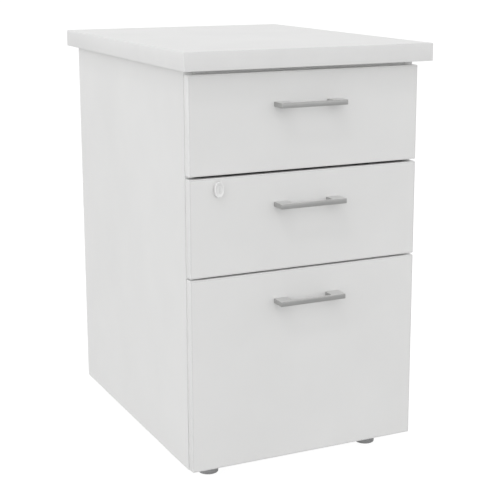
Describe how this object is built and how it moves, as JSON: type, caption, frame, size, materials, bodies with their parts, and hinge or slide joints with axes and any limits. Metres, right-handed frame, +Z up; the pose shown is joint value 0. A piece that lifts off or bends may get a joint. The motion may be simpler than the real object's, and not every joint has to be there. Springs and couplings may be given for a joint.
{
  "type": "desk-high drawer pedestal",
  "caption": "White desk-high office pedestal on low round levelling feet: two box drawers over a filing drawer, bar handles, side gang lock, overhanging top.",
  "frame": {"origin": "on the floor, under the middle of the top panel, with the feet screwed fully in", "axes": "+X to the right of someone facing the drawers, +Y from the drawer fronts to the back, +Z up"},
  "size_m": [0.45, 0.603, 0.725],
  "materials": {
    "top_board": "white melamine-faced board, satin, plain, with white edge band",
    "carcass_board": "white melamine-faced board, satin, plain, with white edge band",
    "front_board": "white melamine-faced board, satin, plain, with white edge band on all four edges",
    "drawer_board": "white foil-wrapped board, satin",
    "handle": "satin nickel",
    "lock_face": "bright nickel plate",
    "lock_linkage": "zinc-plated steel",
    "lock_bar_profile": "drawn aluminium flat bar, mill finish",
    "turned_steel": "turned steel",
    "slides": "zinc-plated bent steel sheet",
    "file_rails": "zinc-plated bent steel sheet",
    "foot_sockets": "zinc-plated steel",
    "feet": "mid-grey moulded plastic, fine matt texture"
  },
  "bodies": {
    "carcass": {"top_panel": "top_board", "side_panel_left": "carcass_board", "side_panel_right": "carcass_board", "back_panel": "carcass_board", "bottom_panel": "carcass_board", "top_rail_front": "carcass_board", "top_rail_rear": "carcass_board", "slide_1_left_outer": "slides", "slide_1_right_outer": "slides", "slide_2_left_outer": "slides", "slide_2_right_outer": "slides", "slide_3_left_outer": "slides", "slide_3_right_outer": "slides", "foot_socket_front_left": "foot_sockets", "foot_socket_front_right": "foot_sockets", "foot_socket_rear_left": "foot_sockets", "foot_socket_rear_right": "foot_sockets"},
    "drawer_1": {"drawer_1_front": "front_board", "drawer_1_side_left": "drawer_board", "drawer_1_side_right": "drawer_board", "drawer_1_base": "drawer_board", "drawer_1_back": "drawer_board", "drawer_1_catch": "lock_linkage", "handle_1": "handle", "slide_1_left_inner": "slides", "slide_1_right_inner": "slides"},
    "drawer_2": {"drawer_2_front": "front_board", "drawer_2_side_left": "drawer_board", "drawer_2_side_right": "drawer_board", "drawer_2_base": "drawer_board", "drawer_2_back": "drawer_board", "drawer_2_catch": "lock_linkage", "handle_2": "handle", "slide_2_left_inner": "slides", "slide_2_right_inner": "slides", "lock_housing": "lock_face"},
    "drawer_3": {"drawer_3_front": "front_board", "drawer_3_side_left": "drawer_board", "drawer_3_side_right": "drawer_board", "drawer_3_base": "drawer_board", "drawer_3_back": "drawer_board", "drawer_3_catch": "lock_linkage", "handle_3": "handle", "slide_3_left_inner": "slides", "slide_3_right_inner": "slides", "file_rail_left": "file_rails", "file_rail_right": "file_rails"},
    "slide_3_middle_left": {"slide_3_left_middle": "slides"},
    "slide_3_middle_right": {"slide_3_right_middle": "slides"},
    "lock_core": {"lock_barrel": "lock_face", "lock_crank": "turned_steel"},
    "lock_bar_set": {"lock_bar": "lock_bar_profile", "lock_lift_arm": "lock_linkage", "lock_peg_1": "turned_steel", "lock_peg_2": "turned_steel", "lock_peg_3": "turned_steel"},
    "foot_front_left_body": {"foot_front_left": "feet"},
    "foot_front_right_body": {"foot_front_right": "feet"},
    "foot_rear_left_body": {"foot_rear_left": "feet"},
    "foot_rear_right_body": {"foot_rear_right": "feet"}
  },
  "joints": [
    {"name": "drawer_1_slide", "type": "slide", "parent": "carcass", "child": "drawer_1", "axis": [0, -1, 0], "range_m": [0, 0.33]},
    {"name": "drawer_2_slide", "type": "slide", "parent": "carcass", "child": "drawer_2", "axis": [0, -1, 0], "range_m": [0, 0.33]},
    {"name": "drawer_3_slide", "type": "slide", "parent": "carcass", "child": "drawer_3", "axis": [0, -1, 0], "range_m": [0, 0.45]},
    {"name": "slide_3_left_middle_travel", "type": "slide", "parent": "carcass", "child": "slide_3_middle_left", "axis": [0, -1, 0], "range_m": [0, 0.225]},
    {"name": "slide_3_right_middle_travel", "type": "slide", "parent": "carcass", "child": "slide_3_middle_right", "axis": [0, -1, 0], "range_m": [0, 0.225]},
    {"name": "central_lock_turn", "type": "hinge", "parent": "drawer_2", "child": "lock_core", "pos_m": [-0.1605, -0.2735, 0.505], "axis": [0, 1, 0], "range_deg": [0, 90]},
    {"name": "central_lock_bar_lift", "type": "slide", "parent": "carcass", "child": "lock_bar_set", "axis": [0, 0, 1], "range_m": [0, 0.0099]},
    {"name": "foot_front_left_adjust", "type": "slide", "parent": "carcass", "child": "foot_front_left_body", "axis": [0, 0, -1], "range_m": [0, 0.01]},
    {"name": "foot_front_right_adjust", "type": "slide", "parent": "carcass", "child": "foot_front_right_body", "axis": [0, 0, -1], "range_m": [0, 0.01]},
    {"name": "foot_rear_left_adjust", "type": "slide", "parent": "carcass", "child": "foot_rear_left_body", "axis": [0, 0, -1], "range_m": [0, 0.01]},
    {"name": "foot_rear_right_adjust", "type": "slide", "parent": "carcass", "child": "foot_rear_right_body", "axis": [0, 0, -1], "range_m": [0, 0.01]}
  ],
  "couplings": [
    {"joint": "slide_3_left_middle_travel", "follows": "drawer_3_slide", "ratio": 0.5},
    {"joint": "slide_3_right_middle_travel", "follows": "drawer_3_slide", "ratio": 0.5},
    {"joint": "central_lock_turn", "follows": "central_lock_bar_lift", "rad_per_m": 158.66}
  ]
}
